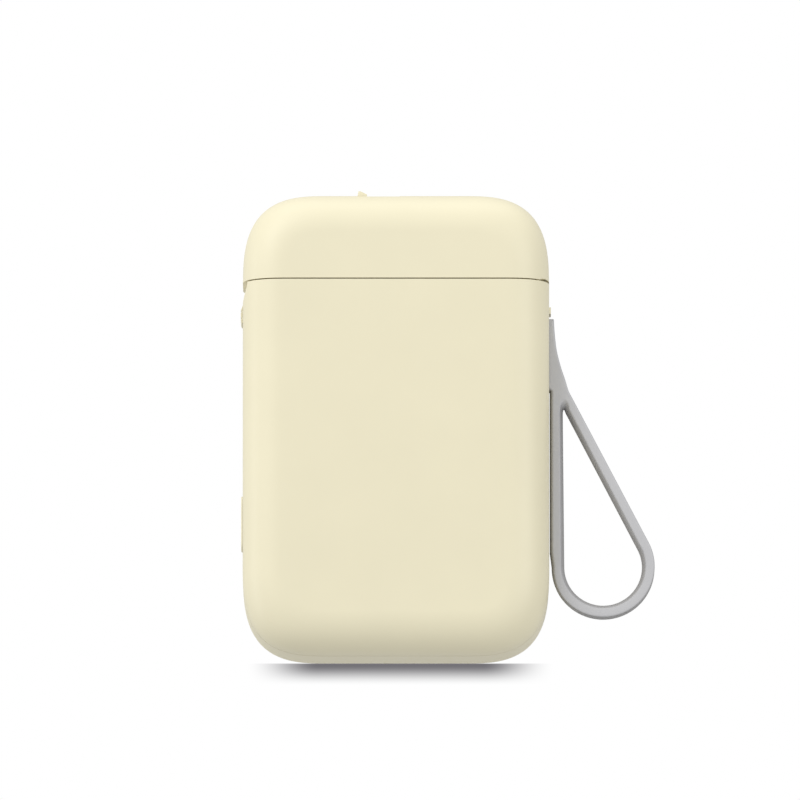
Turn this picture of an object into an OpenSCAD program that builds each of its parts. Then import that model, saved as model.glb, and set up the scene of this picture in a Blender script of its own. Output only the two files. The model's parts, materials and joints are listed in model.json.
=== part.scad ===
// Pocket thermal label printer: a rounded case that stands on its end, a lid that flips to the
// right on a side hinge, a drop-in label roll, a thermal print mechanism and a wrist strap.
// X runs across the case, Y from the front face to the back, and Z up from the flat bottom.

/* [Case] */
// Width of the case
body_w = 75; // [74:0.5:76]
// Height of the case with the lid shut
body_h = 113.5; // [113:0.5:116]
// Depth of the case from front to back
body_d = 30; // [30:0.5:32]
// Wall thickness of the shells
wall = 1.8; // [1.6:0.1:1.8]
// Height of the seam between case and lid
seam_z = 91.8; // [91.8:0.1:92]
// Gap between the lid's rim and the case's rim
seam_gap = 0.25; // [0.2:0.05:0.3]
// Size of the outline's corners across the case
corner_x = 21; // [20:1:22]
// Size of the outline's corners up the case
corner_z = 23; // [21:1:24]
// Squareness of the outline's corners
corner_power = 3; // [2.6:0.1:3.2]
// Depth of the soft rounding round the front face
front_round = 10; // [9:0.5:10]
// Depth of the rounding round the back face
rear_round = 6; // [5:0.5:6]

/* [Label roll] */
// Radius of a full label roll
roll_r = 18; // [14:0.5:18]
// Width of the labels
label_w = 15; // [12:1:15]
// Outer radius of the roll's core
core_r = 8; // [7:0.5:9]
// Radius of the hole in the core
core_hole_r = 5.5; // [5:0.1:5.6]
// Place of the roll's axis across the case
roll_x = 13; // [13:0.5:13]
// Height of the roll's axis
roll_z = 68; // [68:0.5:68]

/* [Print mechanism] */
// Radius of the platen roller
platen_r = 3.6; // [3.6:0.1:3.6]
// Height of the platen's axis
platen_z = 98.5; // [98.5:0.5:98.5]
// Gear module
gear_module = 0.5; // [0.5:0.1:0.5]
// Teeth on the platen gear
platen_teeth = 18; // [18:1:18]
// Teeth on the idler gear
idler_teeth = 22; // [22:1:22]
// Teeth on the small wheel of the reduction gear
small_teeth = 14; // [14:1:14]
// Teeth on the large wheel of the reduction gear
large_teeth = 28; // [28:1:28]
// Teeth on the motor pinion
pinion_teeth = 10; // [10:1:10]

/* [Lid hinge] */
// Distance of the hinge axis inside the right side wall
hinge_in = 1.1; // [1.1:0.1:1.1]
// Distance of the hinge axis below the seam
hinge_down = 1.6; // [1.6:0.1:1.6]
// Radius of the hinge pin
hinge_pin_r = 0.6; // [0.6:0.05:0.6]

/* [Buttons] */
// Travel of the power button
power_travel = 0.5; // [0.3:0.1:0.5]
// Travel of the lid release button
release_travel = 1.2; // [1.2:0.1:1.2]
// Gap round each button
button_gap = 0.3; // [0.3:0.05:0.4]

/* [Wrist strap] */
// Width of the strap's band, front to back
strap_w = 5.5; // [5:0.5:5.5]
// Outer radius of the loop's lower end
loop_r = 12.6; // [12.2:0.2:12.6]
// Thickness of the band
band_t = 3.1; // [2.8:0.1:3.1]

/* [Hidden] */
$fn = 48;
FIN = 0.1;
HALF_W = body_w / 2;
HALF_H = body_h / 2;
FRONT = -body_d / 2;
BACK = body_d / 2;
PART_Y = FRONT + front_round;
SLICE = 0.02;
CORNER_STEPS = 11;
ROUND_POWER = 2.2;
ROUND_STEPS = 6;
BIG = 200;

// Outline of the case seen from the front, pulled in by inset
function corner_point(t, rx, rz) = [rx * pow(cos(t), 2 / corner_power), rz * pow(sin(t), 2 / corner_power)];
function quarter(sx, sz, inset, from, to) = [
    for (i = [0 : CORNER_STEPS])
        let (t = from + (to - from) * i / CORNER_STEPS, p = corner_point(t, corner_x - inset, corner_z - inset))
        [sx * (HALF_W - corner_x + p[0]), sz * (HALF_H - corner_z + p[1]) + HALF_H]
];
function outline(inset) = concat(
    quarter(1, 1, inset, 0, 90),
    quarter(-1, 1, inset, 90, 0),
    quarter(-1, -1, inset, 0, 90),
    quarter(1, -1, inset, 90, 0)
);

// Depth and inset along the rounding between a face and the sides
function round_inset(i, size) = size * (1 - pow(sin(90 * i / ROUND_STEPS), 2 / ROUND_POWER));
function round_depth(i, size) = size * (1 - pow(cos(90 * i / ROUND_STEPS), 2 / ROUND_POWER));

module xz_plate(y0, y1) {
    translate([0, y1, 0])
        rotate([90, 0, 0])
            linear_extrude(y1 - y0)
                children();
}

module box(x0, x1, y0, y1, z0, z1) {
    translate([x0, y0, z0])
        cube([x1 - x0, y1 - y0, z1 - z0]);
}

module y_rod(x, z, r, y0, y1) {
    translate([x, y1, z])
        rotate([90, 0, 0])
            cylinder(r = r, h = y1 - y0);
}

module x_rod(y, z, r, x0, x1) {
    translate([x0, y, z])
        rotate([0, 90, 0])
            cylinder(r = r, h = x1 - x0);
}

// The case as one rounded solid, offset inwards by skin
module case_solid(skin) {
    front = front_round;
    rear = rear_round;
    hull() {
        for (i = [0 : ROUND_STEPS]) {
            front_y = FRONT + skin + round_depth(i, front - skin);
            rear_y = BACK - skin - round_depth(i, rear - skin / 2);
            xz_plate(front_y, front_y + SLICE)
                polygon(outline(skin + round_inset(i, front - skin)));
            xz_plate(rear_y - SLICE, rear_y)
                polygon(outline(skin + round_inset(i, rear - skin / 2)));
        }
    }
}

module case_shell() {
    difference() {
        case_solid(0);
        case_solid(wall);
    }
}

// Screws that join the two halves of the case, as [x, z]
SCREWS = [[-29, 9], [29, 9], [-31, 66], [29.5, 43]];
BOSS_R = 2.3;
SCREW_R = 0.95;
PILOT_R = SCREW_R + 0.02;
HEAD_R = 1.7;
BOSS_Y = [FRONT + 2.1, -1];
HEAD_BORE_R = HEAD_R + 0.3;
POST_R = BOSS_R + 0.4;
POST_Y = [-0.7, BACK - wall + FIN];
HEAD_SEAT = 4;

// Lid hinge
HINGE_X = HALF_W - hinge_in;
HINGE_Z = seam_z - hinge_down;
KNUCKLE_R = 1.05;
KNUCKLE_Y = [-1.5, 5.5];
HINGE_Y = [-4.6, 8.6];
EAR_GAP = 0.3;
HINGE_SWEEP = sqrt(pow(hinge_in, 2) + pow(hinge_down + seam_gap, 2)) + 0.05;

// Strap pin and the collar in the right side wall
PIN_X = HALF_W - 0.6;
PIN_Z = 82.6;
STRAP_PIN_R = 0.5;
STRAP_TOP = 83.6;
STRAP_IN = 35.4;
COLLAR_Z = [64.6, 86.4];
COLLAR_Y = 4.6;
SLOT_Z = [65.8, 84.8];
SLOT_Y = strap_w / 2 + 0.3;
COLLAR_X = 34.4;

// Buttons on the left side wall
POWER_Z = [26.6, 40];
POWER_Y = [-2, 5];
RELEASE_Z = [82.6, 90];
RELEASE_Y = [-3, 7];
RELIEF_X = -HALF_W + 1.1;
RELIEF_Z = [87.2, 91.2];

// Print line, roll and gear centres
TAPE_X = roll_x - roll_r - 0.1;
TAPE_TOP = 109;
TAPE_T = 0.15;
function pitch_r(teeth) = teeth * gear_module / 2;
IDLER_C = [-5.3, 89.3];
MOTOR_C = [-20, 79];
function between(a, ra, b, rb) =
    let (d = norm(b - a), u = (b - a) / d, along = (ra * ra - rb * rb + d * d) / (2 * d))
    a + u * along + [-u[1], u[0]] * sqrt(ra * ra - along * along);
PLATEN_C = [IDLER_C[0] + sqrt(pow(pitch_r(platen_teeth + idler_teeth), 2) - pow(platen_z - IDLER_C[1], 2)), platen_z];
REDUCTION_C = between(MOTOR_C, pitch_r(pinion_teeth + large_teeth), IDLER_C, pitch_r(small_teeth + idler_teeth));
GEAR_Y1 = [10.1, 11.2];
GEAR_Y2 = [11.5, 12.7];
AXLE_R = 0.6;
AXLE_BOSS_R = 1.2;
AXLE_FIT = 0.06;

function heading(a, b) = atan2(b[1] - a[1], b[0] - a[0]);
function mesh_phase(a, phase_a, teeth_a, b, teeth_b) =
    heading(a, b) + 180 - 360 / teeth_b * (0.5 - (heading(a, b) - phase_a) * teeth_a / 360);
IDLER_PHASE = 0;
PLATEN_PHASE = mesh_phase(IDLER_C, IDLER_PHASE, idler_teeth, PLATEN_C, platen_teeth);
SMALL_PHASE = mesh_phase(IDLER_C, IDLER_PHASE, idler_teeth, REDUCTION_C, small_teeth);
LARGE_PHASE = 0;
PINION_PHASE = mesh_phase(REDUCTION_C, LARGE_PHASE, large_teeth, MOTOR_C, pinion_teeth);

// Gear blank with straight-sided teeth: half angles at the root, the pitch circle and the tip
function tooth(teeth, k, phase) =
    let (p = pitch_r(teeth), root = p - 1.2 * gear_module, tip = p + 0.8 * gear_module, mid = 360 / teeth * k + phase)
    let (wide = 0.27 * 360 / teeth, narrow = 0.1 * 360 / teeth)
    [
        root * [cos(mid - wide), sin(mid - wide)],
        tip * [cos(mid - narrow), sin(mid - narrow)],
        tip * [cos(mid + narrow), sin(mid + narrow)],
        root * [cos(mid + wide), sin(mid + wide)]
    ];
module gear(c, teeth, phase, y0, y1, bore_r) {
    translate([c[0], 0, c[1]])
        xz_plate(y0, y1)
            difference() {
                polygon([for (k = [0 : teeth - 1]) each tooth(teeth, k, phase)]);
                circle(r = bore_r);
            }
}

// Roll bay and battery zone
BAY_X = [-8, 34];
BAY_Y = 9.4;
BAY_Z = [48.6, 91];
BAY_WALL = 1.3;
BOARD_Y = [3, 4.2];

// Case halves
module front_shell() {
    color("#E9E2C5")
        difference() {
            union() {
                difference() {
                    case_shell();
                    box(-BIG, BIG, PART_Y, BIG, -BIG, BIG);
                    box(-BIG, BIG, -BIG, BIG, seam_z, BIG);
                    finger_relief();
                }
                for (s = SCREWS) {
                    y_rod(s[0], s[1], BOSS_R, BOSS_Y[0], BOSS_Y[1]);
                }
            }
            for (s = SCREWS) {
                y_rod(s[0], s[1], PILOT_R, FRONT + 2 * wall, BIG);
            }
        }
}

module rear_shell() {
    color("#E9E2C5")
        difference() {
            union() {
                difference() {
                    case_shell();
                    box(-BIG, BIG, -BIG, PART_Y, -BIG, BIG);
                    box(-BIG, BIG, -BIG, BIG, seam_z, BIG);
                    rear_side_openings();
                    finger_relief();
                }
                for (s = SCREWS) {
                    y_rod(s[0], s[1], POST_R, POST_Y[0], POST_Y[1]);
                }
            }
            for (s = SCREWS) {
                y_rod(s[0], s[1], SCREW_R + 0.2, -BIG, BIG);
                y_rod(s[0], s[1], HEAD_BORE_R, HEAD_SEAT, BIG);
            }
        }
}

// Bracket in the right side wall that carries the hinge pin in two ears
EAR_X = 34.7;
EAR_Z = 87.3;
BRACKET_Y = [-4.7, 8.7];
module hinge_bracket() {
    color("#E9E2C5")
        difference() {
            box(EAR_X, HALF_W, BRACKET_Y[0], BRACKET_Y[1], EAR_Z, seam_z);
            box(0, BIG, KNUCKLE_Y[0] - EAR_GAP, KNUCKLE_Y[1] + EAR_GAP, HINGE_Z, BIG);
            y_rod(HINGE_X, HINGE_Z, KNUCKLE_R + 0.25, KNUCKLE_Y[0] - EAR_GAP, KNUCKLE_Y[1] + EAR_GAP);
            y_rod(HINGE_X, HINGE_Z, hinge_pin_r + 0.02, -BIG, BIG);
        }
}

module rear_side_openings() {
    power_hole();
    release_hole();
    usb_hole();
    box(COLLAR_X - 0.1, BIG, -COLLAR_Y - 0.05, COLLAR_Y + 0.05, COLLAR_Z[0] - 0.05, COLLAR_Z[1] + 0.05);
    box(EAR_X - 0.05, BIG, BRACKET_Y[0] - 0.05, BRACKET_Y[1] + 0.05, EAR_Z - 0.05, BIG);
}

module power_hole() {
    box(-BIG, -HALF_W + 4, POWER_Y[0] - button_gap, POWER_Y[1] + button_gap,
        POWER_Z[0] - button_gap, POWER_Z[1] + button_gap);
}

module release_hole() {
    box(-BIG, -HALF_W + 4, RELEASE_Y[0] - button_gap, RELEASE_Y[1] + button_gap,
        RELEASE_Z[0] - button_gap, RELEASE_Z[1] + 0.4);
}

// Sloped finger relief along the top of the left side wall
module finger_relief() {
    xz_plate(-BIG, BIG)
        polygon([[-BIG, RELIEF_Z[0]], [-HALF_W, RELIEF_Z[0]], [RELIEF_X, RELIEF_Z[1]], [RELIEF_X, BIG], [-BIG, BIG]]);
}

USB_Z = 19;
USB_Y = 1.35;
USB_L = 9;
USB_H = 3.2;
USB_GAP = 0.2;
USB_SHEET = 0.35;
module usb_hole() {
    box(-BIG, -HALF_W + 4, USB_Y - USB_H / 2 - USB_GAP, USB_Y + USB_H / 2 + USB_GAP,
        USB_Z - USB_L / 2 - USB_GAP, USB_Z + USB_L / 2 + USB_GAP);
}

SCREW_END = -8;
HEAD_T = 1.3;
CROSS_L = 1.1;
CROSS_W = 0.2;
CROSS_SEAT = HEAD_SEAT + 0.6;
module case_screws() {
    color("#B0B0B4")
        for (s = SCREWS) {
            y_rod(s[0], s[1], SCREW_R, SCREW_END, HEAD_SEAT);
            difference() {
                y_rod(s[0], s[1], HEAD_R, HEAD_SEAT, HEAD_SEAT + HEAD_T);
                box(s[0] - CROSS_L, s[0] + CROSS_L, CROSS_SEAT, BIG, s[1] - CROSS_W, s[1] + CROSS_W);
                box(s[0] - CROSS_W, s[0] + CROSS_W, CROSS_SEAT, BIG, s[1] - CROSS_L, s[1] + CROSS_L);
            }
        }
}

// Collar that frames the strap's slot and holds its pin
COLLAR_PROUD = 0.45;
module strap_collar() {
    color("#E9E2C5")
        difference() {
            union() {
                box(COLLAR_X, HALF_W, -COLLAR_Y, COLLAR_Y, COLLAR_Z[0], COLLAR_Z[1]);
                box(HALF_W - FIN, HALF_W + COLLAR_PROUD, -SLOT_Y, SLOT_Y, SLOT_Z[1], COLLAR_Z[1]);
            }
            box(COLLAR_X + 0.6, BIG, -SLOT_Y, SLOT_Y, SLOT_Z[0], SLOT_Z[1]);
            y_rod(PIN_X, PIN_Z, STRAP_PIN_R + 0.02, -COLLAR_Y + 0.4, COLLAR_Y - 0.4);
        }
}

module strap_pin() {
    color("#C0C0C4")
        y_rod(PIN_X, PIN_Z, STRAP_PIN_R, -COLLAR_Y + 0.5, COLLAR_Y - 0.5);
}

// Moulded strap: a neck in the collar and a drop-shaped loop
LOOP_C = [50.7, 22.5];
LEG_TOP = [43.2, 64];
LEG_X = LOOP_C[0] - loop_r;
LOOP_STEPS = 28;
TAN_HALF = asin(loop_r / norm(LEG_TOP - LOOP_C));
LOOP_END = heading(LOOP_C, LEG_TOP) - (90 - TAN_HALF);
function loop_arc(r) = [
    for (i = [0 : LOOP_STEPS])
        let (t = 180 + (180 + LOOP_END) * i / LOOP_STEPS)
        LOOP_C + r * [cos(t), sin(t)]
];
NECK = [
    [42.25, 65.9], [41.4, 68.7], [40.4, 71.7], [39.4, 75.7], [38.95, 79.3], [38.75, 82],
    [38.7, STRAP_TOP - 0.3], [38.4, STRAP_TOP]
];
CROTCH = [[41.45, 60.9], [41.15, 61.5], [40.88, 60.9]];
module strap() {
    color("#C4C4C6")
        difference() {
            xz_plate(-strap_w / 2, strap_w / 2)
                difference() {
                    polygon(concat(
                        [[STRAP_IN, 66.2], [LEG_X - 0.3, 66.2], [LEG_X, 65.6]],
                        loop_arc(loop_r),
                        [LEG_TOP],
                        NECK,
                        [[STRAP_IN + 0.6, STRAP_TOP], [STRAP_IN, STRAP_TOP - 0.6]]
                    ));
                    polygon(concat(loop_arc(loop_r - band_t), CROTCH));
                }
            y_rod(PIN_X, PIN_Z, STRAP_PIN_R + 0.06, -BIG, BIG);
        }
}

module hinge_pin() {
    color("#C0C0C4")
        y_rod(HINGE_X, HINGE_Z, hinge_pin_r, HINGE_Y[0], HINGE_Y[1]);
}

// Buttons
BUTTON_PROUD = 0.4;
POWER_FLANGE_X = [-HALF_W + wall + 0.6, -HALF_W + wall + 1.4];
BUTTON_PAD_X = POWER_FLANGE_X[1] + power_travel + 0.3;
POWER_FLANGE = 1;
module power_button() {
    color("#E9E2C5")
        union() {
            box(-HALF_W - BUTTON_PROUD, POWER_FLANGE_X[0] + FIN, POWER_Y[0], POWER_Y[1],
                POWER_Z[0], POWER_Z[1]);
            box(POWER_FLANGE_X[0], POWER_FLANGE_X[1], POWER_Y[0] - POWER_FLANGE, POWER_Y[1] + POWER_FLANGE,
                POWER_Z[0] - POWER_FLANGE, POWER_Z[1] + POWER_FLANGE);
        }
}

module button_pad() {
    color("#8C8C8C")
        box(BUTTON_PAD_X, BUTTON_PAD_X + 0.5, 0.2, 2.8, 31.5, 35.1);
}

CATCH_Z = [87.8, 89];
CATCH_Y = [0, 4];
CATCH_END = -27.6;
HOOK_X = [-32.6, -31.4];
HOOK_Y = [0.9, 3.1];
BARB = 1.5;
RIB_Z = [83.35, 85.05];
RIB_GAP = 0.35;
module lid_release_button() {
    color("#E9E2C5")
        difference() {
            union() {
                xz_plate(RELEASE_Y[0], RELEASE_Y[1])
                    polygon([
                        [-HALF_W + 1.6, RELEASE_Z[0]], [-HALF_W + 1.6, RELEASE_Z[1]],
                        [-HALF_W + 0.85, RELEASE_Z[1]], [-HALF_W + 0.1, RELEASE_Z[1] - 2.7],
                        [-HALF_W - 0.3, RELEASE_Z[1] - 3.8], [-HALF_W - 0.55, RELEASE_Z[1] - 4.6],
                        [-HALF_W - 0.55, RELEASE_Z[0] + 0.8], [-HALF_W - 0.3, RELEASE_Z[0]]
                    ]);
                box(-HALF_W + 1.5, CATCH_END, CATCH_Y[0], CATCH_Y[1], CATCH_Z[0], CATCH_Z[1]);
                box(-HALF_W + 2.1, -HALF_W + 2.9, RELEASE_Y[0] - 0.8, RELEASE_Y[1] + 0.8,
                    RELEASE_Z[0] - 0.8, RELEASE_Z[1] - 1);
            }
            box(HOOK_X[0] - release_travel - 0.3, HOOK_X[1] + BARB - 1, HOOK_Y[0] - 0.2,
                HOOK_Y[1] + 0.2, 0, BIG);
            for (z = RIB_Z) {
                box(-BIG, -HALF_W - 0.15, RELEASE_Y[0] - 1, RELEASE_Y[1] + 1, z, z + RIB_GAP);
            }
        }
}

module coil(x0, x1, y, z, r, wire, turns) {
    for (i = [0 : turns - 1]) {
        translate([x0 + (x1 - x0) * (i + 0.5) / turns, y, z])
            rotate([0, 90, 0])
                rotate_extrude($fn = 24)
                    translate([r, 0])
                        circle(r = wire, $fn = 16);
    }
}

module release_spring() {
    color("#B8B8BC")
        coil(CATCH_END + 0.1, -24.4, 2, 88.4, 1.1, 0.22, 6);
}

// Roll bay
module roll_bay() {
    color("#3A3C40")
        difference() {
            union() {
                box(BAY_X[0], BAY_X[1], -BAY_Y, BAY_Y, BAY_Z[0], BAY_Z[1]);
                y_rod(IDLER_C[0], IDLER_C[1], AXLE_BOSS_R, BAY_Y - FIN, GEAR_Y1[1]);
            }
            box(BAY_X[0] + BAY_WALL, BAY_X[1] - BAY_WALL, -BAY_Y + BAY_WALL, BAY_Y - BAY_WALL,
                BAY_Z[0] + BAY_WALL, BIG);
            box(-BIG, BAY_X[0] + 2, -BAY_Y + BAY_WALL, BAY_Y - BAY_WALL, 78, BIG);
            y_rod(IDLER_C[0], IDLER_C[1], AXLE_R, BAY_Y - BAY_WALL, BIG);
        }
}

module label_roll() {
    color("#F4F4F2")
        difference() {
            y_rod(roll_x, roll_z, roll_r, -label_w / 2, label_w / 2);
            y_rod(roll_x, roll_z, core_r, -BIG, BIG);
        }
}

module roll_core() {
    color("#B89468")
        difference() {
            y_rod(roll_x, roll_z, core_r, -label_w / 2, label_w / 2);
            y_rod(roll_x, roll_z, core_hole_r, -BIG, BIG);
        }
}

module label_lead() {
    color("#F4F4F2")
        box(TAPE_X - TAPE_T, TAPE_X, -label_w / 2, label_w / 2, roll_z, TAPE_TOP);
}

module gap_sensor() {
    color("#202224")
        difference() {
            box(TAPE_X - 2.2, TAPE_X - 0.5, -5, -1, 80, 84);
            box(TAPE_X - 1, BIG, -4.4, -1.6, 81, 83);
        }
}

// Print mechanism
FRAME_X = [-27, -8.4];
FRAME_Z = [68.6, 91];
CHEEK_Y = [8.6, 9.4];
SHEET = 1;
HEAD_CROSS_X = [-13.6, -12.8];
REAR_CROSS_X = [-24.3, -23.5];
SPRING_Y = [-5, 5];
SPRING_Z = 97;
module print_frame() {
    color("#A9ADB2")
        difference() {
            union() {
                box(FRAME_X[0], FRAME_X[1], CHEEK_Y[0], CHEEK_Y[1], FRAME_Z[0], FRAME_Z[1]);
                box(FRAME_X[0], FRAME_X[1], -CHEEK_Y[1], -CHEEK_Y[0], FRAME_Z[0], FRAME_Z[1]);
                box(FRAME_X[0], FRAME_X[1], -CHEEK_Y[1], CHEEK_Y[1], FRAME_Z[0], FRAME_Z[0] + SHEET);
                box(HEAD_CROSS_X[0], HEAD_CROSS_X[1], -CHEEK_Y[1], CHEEK_Y[1], 86.5, 102);
                box(REAR_CROSS_X[0], REAR_CROSS_X[1], -CHEEK_Y[1], CHEEK_Y[1], 86.8, 90);
            }
            box(-12.6, -11, -5.6, 5.6, 68, 70);
            y_rod(REDUCTION_C[0], REDUCTION_C[1], AXLE_R, 0, BIG);
            y_rod(MOTOR_C[0], MOTOR_C[1], 2, 0, BIG);
            for (y = SPRING_Y) {
                x_rod(y, SPRING_Z, 0.8, -14, -12);
            }
        }
}

HEAD_X = [TAPE_X - TAPE_T - 2.6, TAPE_X - TAPE_T - 1];
module head_heatsink() {
    color("#C9CCD0")
        union() {
            box(HEAD_X[0], HEAD_X[1], -7.8, 7.8, 86.5, 103);
            box(HEAD_X[0] - 1.2, HEAD_X[0] + FIN, -7.8, -6.8, 87, 102);
            box(HEAD_X[0] - 1.2, HEAD_X[0] + FIN, 6.8, 7.8, 87, 102);
        }
}

module print_head() {
    color("#5A4632")
        union() {
            box(HEAD_X[1], HEAD_X[1] + 0.7, -7.6, 7.6, 90, 102.4);
            box(HEAD_X[1] + 0.6, HEAD_X[1] + 0.95, -7, 7, platen_z - 0.8, platen_z + 0.8);
        }
}

module head_springs() {
    color("#B8B8BC")
        for (y = SPRING_Y) {
            coil(HEAD_CROSS_X[1] + 0.1, HEAD_X[0] - 0.05, y, SPRING_Z, 1.2, 0.2, 6);
        }
}

MOTOR_R = 7.2;
MOTOR_SHAFT_R = 0.5;
module stepper_motor() {
    color("#8E9196")
        union() {
            y_rod(MOTOR_C[0], MOTOR_C[1], MOTOR_R, -3.4, CHEEK_Y[0] - 0.05);
            y_rod(MOTOR_C[0], MOTOR_C[1], 1.9, CHEEK_Y[0] - FIN, CHEEK_Y[1]);
            y_rod(MOTOR_C[0], MOTOR_C[1], MOTOR_SHAFT_R, 0, GEAR_Y2[0]);
            box(MOTOR_C[0] - 10.4, MOTOR_C[0] - 6, CHEEK_Y[0] - 0.9, CHEEK_Y[0] - 0.1,
                MOTOR_C[1] - 2, MOTOR_C[1] + 2);
        }
}

module motor_pinion() {
    color("#C9A24B")
        gear(MOTOR_C, pinion_teeth, PINION_PHASE, GEAR_Y1[0], GEAR_Y1[1], MOTOR_SHAFT_R + AXLE_FIT);
}

module reduction_gear() {
    color("#E4E2DA")
        union() {
            gear(REDUCTION_C, large_teeth, LARGE_PHASE, GEAR_Y1[0], GEAR_Y1[1], AXLE_R + AXLE_FIT);
            gear(REDUCTION_C, small_teeth, SMALL_PHASE, GEAR_Y1[1] - FIN, GEAR_Y2[1], AXLE_R + AXLE_FIT);
        }
}

module idler_gear() {
    color("#E4E2DA")
        gear(IDLER_C, idler_teeth, IDLER_PHASE, GEAR_Y2[0], GEAR_Y2[1], AXLE_R + AXLE_FIT);
}

module gear_axles() {
    color("#C0C0C4")
        union() {
            y_rod(REDUCTION_C[0], REDUCTION_C[1], AXLE_R, CHEEK_Y[0], 13);
            y_rod(IDLER_C[0], IDLER_C[1], AXLE_R, BAY_Y - BAY_WALL + 0.1, 13);
        }
}

// Electronics
module main_board() {
    color("#1F6B46")
        difference() {
            xz_plate(BOARD_Y[0], BOARD_Y[1])
                polygon([
                    [-28, 5.5], [28, 5.5], [33.2, 12], [33.2, 47], [-9, 47], [-9, 66], [-33.4, 66], [-33.4, 12]
                ]);
            for (s = SCREWS) {
                y_rod(s[0], s[1], BOSS_R + 0.7, -BIG, BIG);
            }
        }
}

// Chips as [x, z, width, height, thickness]
CHIPS = [
    [-18, 34, 8, 8, 1], [-2, 36, 6, 5, 0.9], [-16, 50, 5, 5, 0.8], [12, 38, 4, 6, 1.2],
    [-24, 22, 4, 4, 0.9], [4, 18, 3, 6, 0.8], [18, 18, 6, 4, 1.4], [-14, 14, 3, 3, 1.6], [-20, 60, 9, 3, 2]
];
module board_chips() {
    color("#26282A")
        for (c = CHIPS) {
            box(c[0] - c[2] / 2, c[0] + c[2] / 2, BOARD_Y[1], BOARD_Y[1] + c[4], c[1] - c[3] / 2,
                c[1] + c[3] / 2);
        }
}

module radio_module() {
    color("#B9BDC1")
        union() {
            box(12, 24, BOARD_Y[1], BOARD_Y[1] + 0.6, 22, 32);
            box(12.6, 20, BOARD_Y[1] + 0.5, BOARD_Y[1] + 2, 22.6, 31.4);
        }
}

module usb_port() {
    color("#C4C7CB")
        difference() {
            box(-HALF_W + 1, -29.6, USB_Y - USB_H / 2, USB_Y + USB_H / 2, USB_Z - USB_L / 2, USB_Z + USB_L / 2);
            box(-BIG, -31, USB_Y - USB_H / 2 + USB_SHEET, USB_Y + USB_H / 2 - USB_SHEET,
                USB_Z - USB_L / 2 + USB_SHEET, USB_Z + USB_L / 2 - USB_SHEET);
        }
}

module power_switch() {
    color("#2B2D30")
        union() {
            box(-32.4, -29, 0, BOARD_Y[0], 30.3, 36.3);
            box(-33, -32.3, 0.7, 2.3, 32, 34.6);
        }
}

module lid_switch() {
    color("#2B2D30")
        box(-31, -28.4, BOARD_Y[0] - 2, BOARD_Y[0], 58, 62);
}

BATTERY_X = [-8, 25.5];
BATTERY_Y = [-11.2, -4.6];
BATTERY_Z = [7.5, 45.5];
PAD_T = 1;
module battery() {
    color("#5E7FA3")
        box(BATTERY_X[0], BATTERY_X[1], BATTERY_Y[0], BATTERY_Y[1], BATTERY_Z[0], BATTERY_Z[1]);
}

module battery_pad() {
    color("#3B3B3B")
        box(BATTERY_X[0] + 2, BATTERY_X[1] - 2, BATTERY_Y[1], BATTERY_Y[1] + PAD_T,
            BATTERY_Z[0] + 2.5, BATTERY_Z[1] - 3.5);
}

LEAD_R = 0.5;
LEAD_END_X = -16;
LEAD_Y = -8;
LEAD_Z = [20, 23];
module battery_leads() {
    color("#B02020")
        for (z = LEAD_Z) {
            x_rod(LEAD_Y, z, LEAD_R, LEAD_END_X, BATTERY_X[0]);
            y_rod(LEAD_END_X, z, LEAD_R, LEAD_Y, BOARD_Y[0]);
        }
}

// Flat ribbon from the print head, through the frame's slot, to the back of the board
RIBBON_T = 0.2;
RIBBON_X = [-26, -11.7];
RIBBON_Y = [-5, 5];
RIBBON_Z = [60, 67.6, 92];
module head_ribbon() {
    color("#D8B070")
        union() {
            box(RIBBON_X[1] - RIBBON_T, RIBBON_X[1], RIBBON_Y[0], RIBBON_Y[1],
                RIBBON_Z[1] - RIBBON_T, RIBBON_Z[2]);
            box(RIBBON_X[1] - RIBBON_T, HEAD_X[0], RIBBON_Y[0], RIBBON_Y[1],
                RIBBON_Z[2] - RIBBON_T, RIBBON_Z[2]);
            box(RIBBON_X[0], RIBBON_X[1], RIBBON_Y[0], RIBBON_Y[1], RIBBON_Z[1] - RIBBON_T, RIBBON_Z[1]);
            box(RIBBON_X[0] - RIBBON_T, RIBBON_X[0], RIBBON_Y[0], BOARD_Y[0] - 0.1, RIBBON_Z[0], RIBBON_Z[1]);
        }
}

MOTOR_LEAD_X = -27.7;
MOTOR_LEAD_Y = [-2.4, -0.6, 1.2];
MOTOR_LEAD_R = 0.35;
module motor_leads() {
    color("#303030")
        for (y = MOTOR_LEAD_Y) {
            translate([MOTOR_LEAD_X, y, 62.5])
                cylinder(r = MOTOR_LEAD_R, h = 14.5);
        }
}

// Lid
LINER_X = [-29, 30];
LINER_Z = [104, 105.2];
ARM_X = [31.4, 32.8];
LID_SCREWS = [[-22, -7], [-22, 7], [20, -7], [20, 7]];
CUTTER_X = [-9.4, -7.1];
CUTTER_TOP = 114.4;
OUTLET_X = [-9.4, 0.9];
OUTLET_Y = 8.4;
LID_BOSS_R = 2;
LID_SCREW_R = 0.9;
LID_HEAD_T = 1.2;
CHEEK_PLATE_Y = 8.8;
module lid_shell() {
    color("#E9E2C5")
        difference() {
            union() {
                case_shell();
                for (s = LID_SCREWS) {
                    translate([s[0], s[1], LINER_Z[1] + 0.1])
                        cylinder(r = LID_BOSS_R, h = body_h - LINER_Z[1] - 1.5);
                }
            }
            for (s = LID_SCREWS) {
                translate([s[0], s[1], LINER_Z[1]])
                    cylinder(r = PILOT_R, h = 4.5);
            }
            box(-BIG, BIG, -BIG, BIG, -BIG, seam_z + seam_gap);
            box(OUTLET_X[0], OUTLET_X[1], -OUTLET_Y, OUTLET_Y, 100, BIG);
            y_rod(HINGE_X, HINGE_Z, HINGE_SWEEP, -BIG, BIG);
            box(ARM_X[0] - 0.3, HINGE_X + 0.3, KNUCKLE_Y[0] - 0.05, KNUCKLE_Y[1] + 0.05, 0, HINGE_Z + 3.6);
        }
}

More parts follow.
